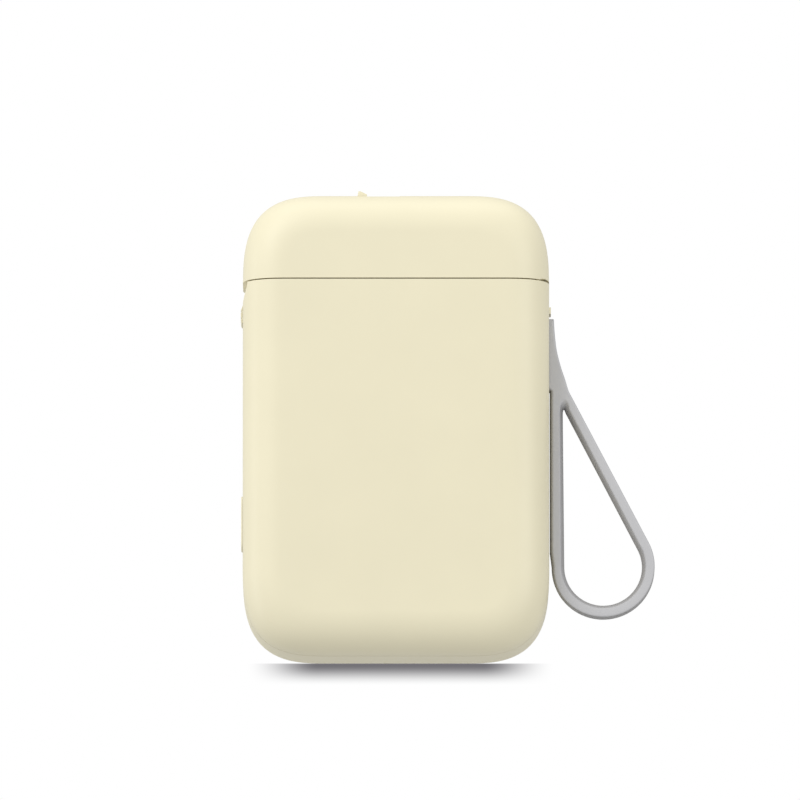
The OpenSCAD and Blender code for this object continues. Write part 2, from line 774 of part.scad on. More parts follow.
module lid_liner() {
    color("#3A3C40")
        difference() {
            union() {
                box(LINER_X[0], LINER_X[1], -10.6, 10.6, LINER_Z[0], LINER_Z[1]);
                for (side = [-1, 1]) {
                    translate([0, side * CHEEK_PLATE_Y, 0])
                        box(PLATEN_C[0] - 3.2, PLATEN_C[0] + 3.2, -0.5, 0.5, 95.6, LINER_Z[0] + FIN);
                }
                box(LINER_X[1] - FIN, ARM_X[1], KNUCKLE_Y[0], KNUCKLE_Y[1], LINER_Z[0] - 2, LINER_Z[1]);
                box(ARM_X[0], ARM_X[1], KNUCKLE_Y[0], KNUCKLE_Y[1], HINGE_Z + 1.2, LINER_Z[0]);
                box(ARM_X[0], HINGE_X + 0.2, KNUCKLE_Y[0], KNUCKLE_Y[1], HINGE_Z + 1.2, HINGE_Z + 3.4);
                y_rod(HINGE_X, HINGE_Z, KNUCKLE_R, KNUCKLE_Y[0], KNUCKLE_Y[1]);
                box(HINGE_X - KNUCKLE_R, HINGE_X + 0.2, KNUCKLE_Y[0], KNUCKLE_Y[1], HINGE_Z, HINGE_Z + 2);
            }
            box(OUTLET_X[0] - 1.6, PLATEN_C[0] + platen_r + 0.8, -OUTLET_Y + 0.2, OUTLET_Y - 0.2,
                LINER_Z[0] - FIN, BIG);
            y_rod(HINGE_X, HINGE_Z, hinge_pin_r + AXLE_FIT, -BIG, BIG);
            y_rod(PLATEN_C[0], PLATEN_C[1], BUSH_R, -BIG, BIG);
            for (s = LID_SCREWS) {
                translate([s[0], s[1], LINER_Z[0] - 1])
                    cylinder(r = LID_SCREW_R + 0.2, h = 3);
            }
        }
}

module lid_screws() {
    color("#B0B0B4")
        for (s = LID_SCREWS) {
            translate([s[0], s[1], LINER_Z[0] - LID_HEAD_T]) {
                cylinder(r = HEAD_R, h = LID_HEAD_T);
                cylinder(r = LID_SCREW_R, h = LID_HEAD_T + 4.8);
            }
        }
}

module latch_hook() {
    color("#3A3C40")
        union() {
            box(HOOK_X[0], HOOK_X[1], HOOK_Y[0], HOOK_Y[1], CATCH_Z[0] - 1.6, LINER_Z[0] + 0.6);
            box(HOOK_X[1] - FIN, HOOK_X[1] + BARB, HOOK_Y[0], HOOK_Y[1], CATCH_Z[0] - 1.6, CATCH_Z[0] - 0.4);
            box(HOOK_X[0], -26, -3, 7, LINER_Z[0] - 1.4, LINER_Z[0]);
        }
}

TEETH = 11;
module tear_bar() {
    color("#E9E2C5")
        difference() {
            xz_plate(-OUTLET_Y + 0.2, OUTLET_Y - 0.2)
                polygon([
                    [CUTTER_X[0], LINER_Z[1]], [CUTTER_X[1], LINER_Z[1]], [CUTTER_X[1], CUTTER_TOP - 0.8],
                    [CUTTER_X[0] + 0.7, CUTTER_TOP], [CUTTER_X[0] + 0.2, CUTTER_TOP],
                    [CUTTER_X[0], CUTTER_TOP - 1]
                ]);
            for (k = [0 : TEETH - 1]) {
                translate([CUTTER_X[0] - 1, -OUTLET_Y + 1 + (k + 0.5) * (2 * OUTLET_Y - 2) / TEETH, CUTTER_TOP + 0.1])
                    rotate([0, 90, 0])
                        cylinder(r = 0.5, h = 4, $fn = 4);
            }
        }
}

PLATEN_SHAFT_R = 1;
BUSH_R = 1.9;
module platen_bushes() {
    color("#C9A24B")
        for (side = [-1, 1]) {
            difference() {
                y_rod(PLATEN_C[0], PLATEN_C[1], BUSH_R, side * CHEEK_PLATE_Y - 0.6, side * CHEEK_PLATE_Y + 0.6);
                y_rod(PLATEN_C[0], PLATEN_C[1], PLATEN_SHAFT_R + AXLE_FIT, -BIG, BIG);
            }
        }
}

module platen_shaft() {
    color("#C0C0C4")
        y_rod(PLATEN_C[0], PLATEN_C[1], PLATEN_SHAFT_R, -9.8, GEAR_Y2[1] + 0.2);
}

module platen_rubber() {
    color("#2A2A2C")
        difference() {
            y_rod(PLATEN_C[0], PLATEN_C[1], platen_r, -7.9, 7.9);
            y_rod(PLATEN_C[0], PLATEN_C[1], PLATEN_SHAFT_R, -BIG, BIG);
        }
}

module platen_gear() {
    color("#E4E2DA")
        gear(PLATEN_C, platen_teeth, PLATEN_PHASE, GEAR_Y2[0], GEAR_Y2[1], PLATEN_SHAFT_R);
}

front_shell();
rear_shell();
case_screws();
strap_collar();
strap_pin();
strap();
hinge_bracket();
hinge_pin();
power_button();
button_pad();
lid_release_button();
release_spring();
roll_bay();
label_roll();
roll_core();
label_lead();
gap_sensor();
print_frame();
head_heatsink();
print_head();
head_springs();
stepper_motor();
motor_pinion();
reduction_gear();
idler_gear();
gear_axles();
main_board();
board_chips();
radio_module();
usb_port();
power_switch();
lid_switch();
battery();
battery_pad();
battery_leads();
head_ribbon();
motor_leads();
lid_shell();
lid_liner();
latch_hook();
lid_screws();
tear_bar();
platen_bushes();
platen_shaft();
platen_rubber();
platen_gear();
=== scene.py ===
"""Pocket label printer: the finished look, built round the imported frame."""
import json
import math

import bmesh
import bpy
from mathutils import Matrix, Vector


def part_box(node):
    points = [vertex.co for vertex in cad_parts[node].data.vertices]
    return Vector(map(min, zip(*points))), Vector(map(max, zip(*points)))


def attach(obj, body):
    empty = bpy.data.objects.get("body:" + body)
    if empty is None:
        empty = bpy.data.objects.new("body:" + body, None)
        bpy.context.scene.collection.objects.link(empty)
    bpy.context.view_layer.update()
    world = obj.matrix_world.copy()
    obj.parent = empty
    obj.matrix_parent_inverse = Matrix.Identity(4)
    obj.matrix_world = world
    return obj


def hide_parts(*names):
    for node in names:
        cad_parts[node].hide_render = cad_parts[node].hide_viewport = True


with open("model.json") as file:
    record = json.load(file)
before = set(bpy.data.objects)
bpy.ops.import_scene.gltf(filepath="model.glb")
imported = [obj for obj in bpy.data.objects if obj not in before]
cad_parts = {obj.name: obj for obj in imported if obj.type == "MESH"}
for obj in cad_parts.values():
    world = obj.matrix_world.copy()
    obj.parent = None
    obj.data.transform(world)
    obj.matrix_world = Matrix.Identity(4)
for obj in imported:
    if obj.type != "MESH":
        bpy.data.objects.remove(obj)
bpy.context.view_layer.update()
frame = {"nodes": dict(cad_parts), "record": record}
MM = 0.001

# ---------------------------------------------------------------- sizes in metres
HALF_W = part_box("front_shell")[1].x
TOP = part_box("lid_shell")[1].z
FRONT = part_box("front_shell")[0].y
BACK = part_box("lid_shell")[1].y
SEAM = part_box("front_shell")[1].z
LID_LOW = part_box("lid_shell")[0].z
PART_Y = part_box("rear_shell")[0].y
HALF_H = TOP / 2
CORNER_X = 21 * MM
CORNER_Z = 23 * MM
CORNER_POWER = 3.0
FRONT_ROUND = PART_Y - FRONT
REAR_ROUND = 6 * MM
ROUND_POWER = 2.2
WALL = 1.8 * MM
CORNER_STEPS = 28
ROUND_STEPS = 14

# ---------------------------------------------------------------- colours


def linear(red, green, blue):
    """An sRGB colour, 0 to 255, as linear RGBA."""
    def one(v):
        v /= 255
        return v / 12.92 if v <= 0.04045 else ((v + 0.055) / 1.055) ** 2.4
    return (one(red), one(green), one(blue), 1.0)


# ---------------------------------------------------------------- materials


class Nodes:
    """A material's node tree with short calls to add and join nodes."""

    def __init__(self, name, rough, metallic=0.0, specular=0.5):
        self.material = bpy.data.materials.new(name)
        self.material.use_nodes = True
        self.tree = self.material.node_tree
        self.shader = self.tree.nodes["Principled BSDF"]
        self.shader.inputs["Roughness"].default_value = rough
        self.shader.inputs["Metallic"].default_value = metallic
        self.shader.inputs["Specular IOR Level"].default_value = specular
        self.place = self.tree.nodes.new("ShaderNodeTexCoord").outputs["Object"]

    def add(self, kind, **inputs):
        node = self.tree.nodes.new("ShaderNode" + kind)
        for name, value in inputs.items():
            socket = node.inputs[name.replace("_", " ")]
            if isinstance(value, bpy.types.NodeSocket):
                self.tree.links.new(value, socket)
            else:
                socket.default_value = value
        return node

    def join(self, source, socket):
        self.tree.links.new(source, self.shader.inputs[socket])

    def stretched(self, scale):
        mapping = self.add("Mapping", Vector=self.place)
        mapping.inputs["Scale"].default_value = scale
        return mapping.outputs["Vector"]

    def noise(self, scale, detail=3.0, rough=0.5, place=None):
        node = self.add("TexNoise", Vector=place or self.place, Scale=scale, Detail=detail, Roughness=rough)
        return node.outputs["Fac"]

    def ramp(self, factor, low, high, start=0.3, end=0.7):
        node = self.add("ValToRGB", Fac=factor)
        node.color_ramp.elements[0].position = start
        node.color_ramp.elements[0].color = low
        node.color_ramp.elements[1].position = end
        node.color_ramp.elements[1].color = high
        return node.outputs["Color"]

    def spread(self, factor, low, high):
        node = self.add("MapRange", Value=factor)
        node.inputs["To Min"].default_value = low
        node.inputs["To Max"].default_value = high
        return node.outputs["Result"]

    def math(self, operation, *values):
        """A Math node over sockets or plain numbers."""
        node = self.add("Math")
        node.operation = operation
        for value, socket in zip(values, node.inputs):
            if isinstance(value, bpy.types.NodeSocket):
                self.tree.links.new(value, socket)
            else:
                socket.default_value = value
        return node.outputs[0]

    def see_through(self, shader, shown):
        """Puts the shader on the surface as far as shown says, and nothing elsewhere."""
        mix = self.add("MixShader", Fac=shown)
        self.tree.links.new(self.add("BsdfTransparent").outputs[0], mix.inputs[1])
        self.tree.links.new(shader.outputs[0], mix.inputs[2])
        self.tree.links.new(mix.outputs[0], self.tree.nodes["Material Output"].inputs["Surface"])

    def bump(self, height, distance, strength=1.0):
        node = self.add("Bump", Height=height, Strength=strength, Distance=distance)
        self.join(node.outputs["Normal"], "Normal")


def shade(colour, factor):
    """A colour made lighter or darker by a factor."""
    return (*(min(c * factor, 1.0) for c in colour[:3]), 1.0)


def moulded(name, colour, rough=0.45, grain=3200.0, depth=0.006, change=0.012, specular=0.4):
    """Moulded plastic or silicone: spark-eroded grain, soft colour drift and uneven gloss."""
    n = Nodes(name, rough, specular=specular)
    drift = n.noise(55.0, detail=4.0)
    n.join(n.ramp(drift, shade(colour, 1 - change), shade(colour, 1 + change)), "Base Color")
    n.join(n.spread(n.noise(420.0), rough - 0.05, rough + 0.06), "Roughness")
    n.bump(n.noise(grain, detail=2.0, rough=0.6), depth * MM)
    return n.material


def silicone_with_painted_shade(name, face, side):
    """Moulded silicone with painted shade: its sides are coloured darker than its front and back, standing in
    for the shade that falls on them.
    """
    n = Nodes(name, 0.55, specular=0.35)
    # Painted shade: the more a face turns away from front and back, the closer it gets to the darker side
    # colour
    across = n.add("SeparateXYZ", Vector=n.add("NewGeometry").outputs["Normal"]).outputs["Y"]
    painted_shade_amount = n.math("ABSOLUTE", across)
    n.join(n.ramp(n.math("ADD", painted_shade_amount, n.spread(n.noise(55.0), -0.05, 0.05)), side, face, 0.35, 0.8),
           "Base Color")
    n.join(n.spread(n.noise(420.0), 0.5, 0.61), "Roughness")
    n.bump(n.noise(2600.0, detail=2.0, rough=0.6), 0.008 * MM)
    return n.material


def metal(name, colour, rough=0.3, along=(60.0, 2500.0, 60.0), change=0.08):
    """Drawn or brushed metal with fine lines along one direction."""
    n = Nodes(name, rough, metallic=1.0)
    lines = n.noise(1.0, detail=3.0, place=n.stretched(along))
    n.join(n.ramp(lines, shade(colour, 1 - change), shade(colour, 1 + change)), "Base Color")
    n.join(n.spread(lines, rough - 0.07, rough + 0.1), "Roughness")
    n.bump(lines, 0.004 * MM)
    return n.material


def paper(name, colour):
    """Coated label paper, wound so that its edges show as fine rings."""
    n = Nodes(name, 0.55, specular=0.3)
    rings = n.add("TexWave", Vector=n.place, Scale=900.0, Distortion=1.5, Detail=2.0)
    rings.wave_type = "RINGS"
    rings.rings_direction = "Y"
    n.join(n.ramp(rings.outputs["Fac"], shade(colour, 0.93), colour, 0.2, 0.8), "Base Color")
    n.join(n.spread(n.noise(600.0), 0.48, 0.62), "Roughness")
    n.bump(rings.outputs["Fac"], 0.01 * MM)
    return n.material


def circuit(name):
    """Green solder mask with copper runs just showing beneath it."""
    n = Nodes(name, 0.32)
    cells = n.add("TexVoronoi", Vector=n.place, Scale=420.0)
    cells.distance = "MANHATTAN"
    runs = n.ramp(cells.outputs["Distance"], linear(18, 92, 58), linear(33, 118, 76), 0.42, 0.46)
    n.join(runs, "Base Color")
    n.join(n.spread(n.noise(500.0), 0.25, 0.4), "Roughness")
    n.bump(cells.outputs["Distance"], 0.02 * MM, 0.4)
    return n.material


def film(name, colour, rough=0.28):
    """Shrink film or insulation: glossy, with a little waviness."""
    n = Nodes(name, rough)
    n.join(n.ramp(n.noise(90.0), shade(colour, 0.9), shade(colour, 1.08)), "Base Color")
    n.join(n.spread(n.noise(300.0), rough - 0.06, rough + 0.08), "Roughness")
    n.bump(n.noise(260.0), 0.03 * MM, 0.5)
    return n.material


CREAM = linear(229, 222, 193)
SLOT_LOOKS = {
    "case_cream": lambda s: moulded(s, CREAM),
    # The strap's second, darker grey is painted shade for its side faces
    "strap_grey": lambda s: silicone_with_painted_shade(s, linear(190, 190, 192), linear(152, 151, 151)),
    "dark_plastic": lambda s: moulded(s, linear(58, 60, 64), 0.5),
    "steel": lambda s: metal(s, linear(190, 192, 196), 0.25),
    "sheet_steel": lambda s: metal(s, linear(169, 173, 178), 0.35),
    "aluminium": lambda s: metal(s, linear(201, 204, 208), 0.3),
    "label_paper": lambda s: paper(s, linear(244, 244, 242)),
    "core_card": lambda s: paper(s, linear(184, 148, 104)),
    "ceramic_board": lambda s: film(s, linear(90, 70, 50), 0.2),
    "motor_can": lambda s: metal(s, linear(150, 153, 158), 0.28),
    "brass": lambda s: metal(s, linear(201, 162, 75), 0.3),
    "gear_white": lambda s: moulded(s, linear(228, 226, 218), 0.4),
    "circuit_board": circuit,
    "chip_black": lambda s: moulded(s, linear(38, 40, 42), 0.55, 5000.0, 0.01),
    "shield_metal": lambda s: metal(s, linear(196, 199, 203), 0.32),
    "battery_wrap": lambda s: film(s, linear(94, 127, 163)),
    "foam_black": lambda s: moulded(s, linear(59, 59, 59), 0.85, 1500.0, 0.12, 0.15),
    "pad_rubber": lambda s: moulded(s, linear(140, 140, 140), 0.7),
    "wire_red": lambda s: film(s, linear(176, 32, 32)),
    "wire_black": lambda s: film(s, linear(48, 48, 48)),
    "ribbon_amber": lambda s: film(s, linear(216, 176, 112), 0.22),
    "platen_black": lambda s: moulded(s, linear(42, 42, 44), 0.6, 2400.0, 0.02),
}
LOOKS = {slot: make(slot) for slot, make in SLOT_LOOKS.items()}
NODE_SLOT = {p["node"]: p["material_slot"] for p in frame["record"]["subparts"]}


def dress(piece, slot):
    piece.data.materials.clear()
    piece.data.materials.append(LOOKS[slot])


# ---------------------------------------------------------------- mesh helpers


def new_object(name, mesh_data):
    piece = bpy.data.objects.new(name, mesh_data)
    bpy.context.scene.collection.objects.link(piece)
    return piece


def from_bmesh(name, bm):
    bmesh.ops.recalc_face_normals(bm, faces=bm.faces)
    data = bpy.data.meshes.new(name)
    bm.to_mesh(data)
    bm.free()
    for face in data.polygons:
        face.use_smooth = True
    return new_object(name, data)


def modifier(piece, kind, **settings):
    m = piece.modifiers.new(kind.title(), kind)
    for name, value in settings.items():
        setattr(m, name, value)
    return m


def bake_modifiers(piece):
    """Turns the modified shape into the piece's own mesh."""
    shaped = piece.evaluated_get(bpy.context.evaluated_depsgraph_get())
    data = bpy.data.meshes.new_from_object(shaped)
    piece.modifiers.clear()
    old = piece.data
    piece.data = data
    bpy.data.meshes.remove(old)


def soften(piece, width, segments=3, angle=35.0):
    """Rounds the piece's sharp edges and keeps its flats flat."""
    modifier(piece, "BEVEL", width=width, segments=segments, limit_method="ANGLE",
             angle_limit=math.radians(angle), use_clamp_overlap=True, miter_outer="MITER_ARC")
    modifier(piece, "WEIGHTED_NORMAL", keep_sharp=False, weight=80)


def stand_for(piece, body, slot, *nodes):
    """Dresses the piece, fixes it to its body, and hides the nodes it takes the place of."""
    dress(piece, slot)
    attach(piece, body)
    if nodes:
        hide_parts(*nodes)


def rounded_rectangle(low, high, radius, steps=6):
    """Points round a rectangle with round corners, counter-clockwise."""
    points = []
    corners = ((high[0], high[1], 0), (low[0], high[1], 90), (low[0], low[1], 180), (high[0], low[1], 270))
    for x, y, start in corners:
        cx = x - radius if x == high[0] else x + radius
        cy = y - radius if y == high[1] else y + radius
        for i in range(steps + 1):
            a = math.radians(start + 90 * i / steps)
            points.append((cx + radius * math.cos(a), cy + radius * math.sin(a)))
    return points


def prism(name, outline, place, low, high):
    """An outline drawn out between two levels. place(u, v, level) says where a point goes."""
    bm = bmesh.new()
    near = [bm.verts.new(place(u, v, low)) for u, v in outline]
    far = [bm.verts.new(place(u, v, high)) for u, v in outline]
    bm.faces.new(near)
    bm.faces.new(list(reversed(far)))
    for i in range(len(outline)):
        j = (i + 1) % len(outline)
        bm.faces.new((near[i], far[i], far[j], near[j]))
    return from_bmesh(name, bm)


def on_x(u, v, level):
    """Puts an outline's point on a plane across X. on_y does the same across Y."""
    return Vector((level, u, v))


def on_y(u, v, level):
    return Vector((u, level, v))


SQUARE = 0.001 * MM


def block(name, low, high):
    """A box from one corner to the other."""
    return prism(name, rounded_rectangle(low[1:], high[1:], SQUARE, 1), on_x, low[0], high[0])


def cut(piece, *cutters):
    """Takes the cutters out of the piece and deletes them."""
    for cutter in cutters:
        modifier(piece, "BOOLEAN", object=cutter, operation="DIFFERENCE", solver="EXACT")
    bpy.context.view_layer.update()
    bake_modifiers(piece)
    for cutter in cutters:
        bpy.data.objects.remove(cutter)


# ---------------------------------------------------------------- case skins


def bulge(t, power):
    """A point on a superellipse's quarter, at the fraction t of its angle."""
    a = math.radians(90 * t)
    c, s = math.cos(a), math.sin(a)
    r = (abs(c) ** power + abs(s) ** power) ** (-1 / power)
    return r * c, r * s


def half_outline(inset, cut_z, up):
    """The case's outline on one side of a level cut: side, corner, end, corner, side."""
    sign = 1 if up else -1
    corner = []
    for i in range(CORNER_STEPS + 1):
        x, z = bulge(i / CORNER_STEPS, CORNER_POWER)
        corner.append((
            HALF_W - CORNER_X + (CORNER_X - inset) * x,
            HALF_H + sign * (HALF_H - CORNER_Z + (CORNER_Z - inset) * z),
        ))
    first = 1
    if up:
        first = next(i for i in range(CORNER_STEPS) if bulge(i / CORNER_STEPS, CORNER_POWER)[1] > 0.2)
    corner = [(HALF_W - inset, cut_z)] + corner[first:]
    return corner + [(-x, z) for x, z in reversed(corner)]


def rounding(size, outwards):
    """(inset, depth) pairs from a flat face's edge to the side, or back again."""
    rows = []
    for i in range(ROUND_STEPS + 1):
        u, w = bulge(1 - i / ROUND_STEPS, ROUND_POWER)
        rows.append((size * (1 - u), size * (1 - w)))
    return rows if outwards else rows[::-1]


def skin(name, cut_z, up, rows, front_face, back_face):
    """An open skin over rows of (inset, y), closed by a flat face in front or behind."""
    bm = bmesh.new()
    rings = []
    for inset, y in rows:
        rings.append([bm.verts.new((x, y, z)) for x, z in half_outline(inset, cut_z, up)])
    for a, b in zip(rings, rings[1:]):
        for i in range(len(a) - 1):
            bm.faces.new((a[i], a[i + 1], b[i + 1], b[i]))
    if front_face:
        bm.faces.new(rings[0])
    if back_face:
        bm.faces.new(rings[-1][::-1])
    return from_bmesh(name, bm)


def thicken(piece):
    """Gives a skin its wall, on the inside."""
    bm = bmesh.new()
    bm.from_mesh(piece.data)
    middle = Vector((0, (FRONT + BACK) / 2, HALF_H))
    outward = sum((f.normal.dot(f.calc_center_median() - middle) * f.calc_area() for f in bm.faces))
    if outward < 0:
        bmesh.ops.reverse_faces(bm, faces=bm.faces)
    bm.to_mesh(piece.data)
    bm.free()
    modifier(piece, "SOLIDIFY", thickness=WALL, offset=-1.0, use_even_offset=False)
    bpy.context.view_layer.update()
    bake_modifiers(piece)


FRONT_ROWS = [(inset, FRONT + depth) for inset, depth in rounding(FRONT_ROUND, True)]
REAR_ROWS = [(inset, BACK - depth) for inset, depth in rounding(REAR_ROUND, False)]
SHELL_EDGE = 0.22 * MM
OUTSIDE = HALF_W + 5 * MM
INSIDE = HALF_W - 4 * MM
GAP = 0.25 * MM
FLUSH = 0.03 * MM
RELIEF_DEEP = 1.1 * MM
RELIEF_Z = (87.2 * MM, 91.2 * MM)


def finger_relief():
    """A cutter for the sloped relief along the top of the left side."""
    outside = HALF_W + 10 * MM
    bottom = -HALF_W + RELIEF_DEEP
    outline = [(-outside, RELIEF_Z[0]), (-HALF_W, RELIEF_Z[0]), (bottom, RELIEF_Z[1]),
               (bottom, 100 * MM), (-outside, 100 * MM)]
    return prism("finger_relief", outline, on_y, -30 * MM, 30 * MM)


def side_window(name, low, high, gap, radius=SQUARE, steps=1, right=False):
    """A cutter through a side wall, round the box from low to high."""
    outline = rounded_rectangle((low.y - gap, low.z - gap), (high.y + gap, high.z + gap), radius, steps)
    ends = (INSIDE, OUTSIDE) if right else (-OUTSIDE, -INSIDE)
    return prism(name, outline, on_x, *ends)


# Screw places as (x, z), and the bosses and posts round them as (radius, y), in millimetres
HEAD_BORE = 2
SCREWS = [(-29, 9), (29, 9), (-31, 66), (29.5, 43)]
BOSS = [(0.97, -11.4), (0.97, -1), (2.3, -1), (2.3, -12.9), (0, -12.9), (0, -11.4)]
POST = [(1.15, -0.7), (2.7, -0.7), (2.7, 13.3), (HEAD_BORE, 13.3), (HEAD_BORE, 4), (1.15, 4)]


def turned(name, x, z, profile, steps=32):
    """A closed (radius, y) profile turned round a line along Y, all in millimetres."""
    bm = bmesh.new()
    rings = []
    for radius, y in profile:
        if radius:
            turns = [2 * math.pi * i / steps for i in range(steps)]
            round_points = [(x + radius * math.cos(a), z + radius * math.sin(a)) for a in turns]
            rings.append([bm.verts.new((u * MM, y * MM, w * MM)) for u, w in round_points])
        else:
            rings.append([bm.verts.new((x * MM, y * MM, z * MM))] * steps)
    for a, b in zip(rings, rings[1:] + rings[:1]):
        for i in range(steps):
            j = (i + 1) % steps
            corners = list(dict.fromkeys((a[i], a[j], b[j], b[i])))
            if len(corners) > 2:
                bm.faces.new(corners)
    piece = from_bmesh(name, bm)
    soften(piece, 0.1 * MM, 2)
    stand_for(piece, "case", "case_cream")


def front_shell():
    piece = skin("front_shell_skin", SEAM, False, FRONT_ROWS, True, False)
    thicken(piece)
    cut(piece, finger_relief())
    soften(piece, SHELL_EDGE)
    stand_for(piece, "case", "case_cream", "front_shell")
    for i, (x, z) in enumerate(SCREWS):
        turned(f"front_boss_{i}", x, z, BOSS)


def round_cutter(name, x, z, radius, y0, y1):
    circle = [(x + radius * math.cos(a), z + radius * math.sin(a))
              for a in (2 * math.pi * i / 40 for i in range(40))]
    return prism(name, circle, on_y, y0, y1)


POWER_LOW = Vector((-HALF_W - 0.4 * MM, -2 * MM, 26.6 * MM))
POWER_HIGH = Vector((-HALF_W + 1.6 * MM, 5 * MM, 40 * MM))
RELEASE_LOW = Vector((-HALF_W, -3 * MM, 82.6 * MM))
RELEASE_HIGH = Vector((-HALF_W, 7 * MM, 90 * MM))
PARTING = 0.25 * MM


def rear_shell():
    piece = skin("rear_shell_skin", SEAM, False, [(0.0, PART_Y + PARTING)] + REAR_ROWS, False, True)
    thicken(piece)
    bracket_low, bracket_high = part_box("hinge_bracket")
    bracket_top = Vector((bracket_high.x, bracket_high.y, SEAM + 5 * MM - FLUSH))
    cutters = [
        side_window("power_hole", POWER_LOW, POWER_HIGH, GAP, 2.2 * MM, 8),
        side_window("release_hole", RELEASE_LOW, RELEASE_HIGH, GAP, 0.8 * MM, 5),
        finger_relief(),
        side_window("collar_hole", *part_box("strap_collar"), FLUSH, right=True),
        side_window("bracket_hole", bracket_low, bracket_top, FLUSH, right=True),
        side_window("usb_hole", *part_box("usb_port"), GAP, 1.6 * MM, 8),
    ]
    for i, (x, z) in enumerate(SCREWS):
        cutters.append(round_cutter(f"screw_hole_{i}", x * MM, z * MM, HEAD_BORE * MM, 10 * MM, 20 * MM))
    cut(piece, *cutters)
    soften(piece, SHELL_EDGE)
    stand_for(piece, "case", "case_cream", "rear_shell")
    for i, (x, z) in enumerate(SCREWS):
        turned(f"rear_post_{i}", x, z, POST)


OUTLET_END = 0.9 * MM
OUTLET_GAP = 0.2 * MM
HINGE_SWEEP = 2.2 * MM
ARM_START = 31.1 * MM
ARM_Y = (-1.55 * MM, 5.55 * MM)
ARM_RISE = 3.6 * MM


def lid_shell():
    piece = skin("lid_shell_skin", LID_LOW, True, FRONT_ROWS + REAR_ROWS, True, True)
    thicken(piece)
    bar_low, bar_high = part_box("tear_bar")
    outlet = block("outlet", (bar_low.x, bar_low.y - OUTLET_GAP, 100 * MM),
                   (OUTLET_END, bar_high.y + OUTLET_GAP, 130 * MM))
    pin_low, pin_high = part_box("hinge_pin")
    pin = (pin_low + pin_high) / 2
    sweep = round_cutter("hinge_sweep", pin.x, pin.z, HINGE_SWEEP, -40 * MM, 40 * MM)
    arm = block("arm_room", (ARM_START, ARM_Y[0], 80 * MM), (pin.x + 0.3 * MM, ARM_Y[1], pin.z + ARM_RISE))
    cut(piece, outlet, sweep, arm)
    soften(piece, SHELL_EDGE)
    stand_for(piece, "lid", "case_cream", "lid_shell")


# ---------------------------------------------------------------- strap


EDGE_STEPS = 6
OUTER_EDGE = 0.45 * MM
LEG_EDGE = 1.0 * MM
LEG_DEEP = 2.0 * MM
INNER_EDGE = 1.1 * MM
INNER_DEEP = 2.3 * MM
STRAP_LOOP_R = 12.6 * MM
STRAP_BAND = 3.1 * MM
STRAP_LEG_GAP = 0.15 * MM
STRAP_IN = 35.4 * MM
STRAP_STEP_Z = 66.2 * MM
ARC_STEPS = 72
LEG_FADE_STEPS = 12
# Listed (x, z) points in millimetres: the neck's outer line, the top of the loop's
# opening, and the line where that top meets the strap's face
NECK = [(43.2, 64), (42.25, 65.9), (41.4, 68.7), (40.4, 71.7), (39.4, 75.7), (38.95, 79.3), (38.75, 82),
        (38.7, 83.4)]
CROTCH = [(41.5, 60.7), (41.3, 61.3), (41.1, 61.5), (40.93, 61.2), (40.85, 60.5)]
BROW = [(42.75, 61.1), (42.3, 62.9), (41.3, 63.8), (40.25, 63.1), (39.85, 60.5)]


def offset(line, distance):
    """A closed line moved inwards, or outwards where the distance is negative."""
    points = [Vector(p) for p in line]
    area = sum(a.x * b.y - b.x * a.y for a, b in zip(points, points[1:] + points[:1]))
    moved = []
    for i, p in enumerate(points):
        before = (p - points[i - 1]).normalized()
        after = (points[(i + 1) % len(points)] - p).normalized()
        normal = Vector((-before.y - after.y, before.x + after.x)).normalized()
        stretch = max(normal.dot(Vector((-after.y, after.x))), 0.5)
        moved.append(p + normal * math.copysign(distance / stretch, distance * area))
    return moved


def curve(points, steps=8):
    """A smooth curve through given points in millimetres, as points in metres."""
    out = []
    p = [points[0]] + list(points) + [points[-1]]
    for a, b, c, d in zip(p, p[1:], p[2:], p[3:]):
        for k in range(steps):
            t = k / steps
            out.append(tuple(MM * 0.5 * (2 * b[n] + (c[n] - a[n]) * t
                                         + (2 * a[n] - 5 * b[n] + 4 * c[n] - d[n]) * t * t
                                         + (3 * b[n] - a[n] - 3 * c[n] + d[n]) * t ** 3) for n in (0, 1)))
    out.append((points[-1][0] * MM, points[-1][1] * MM))
    return out


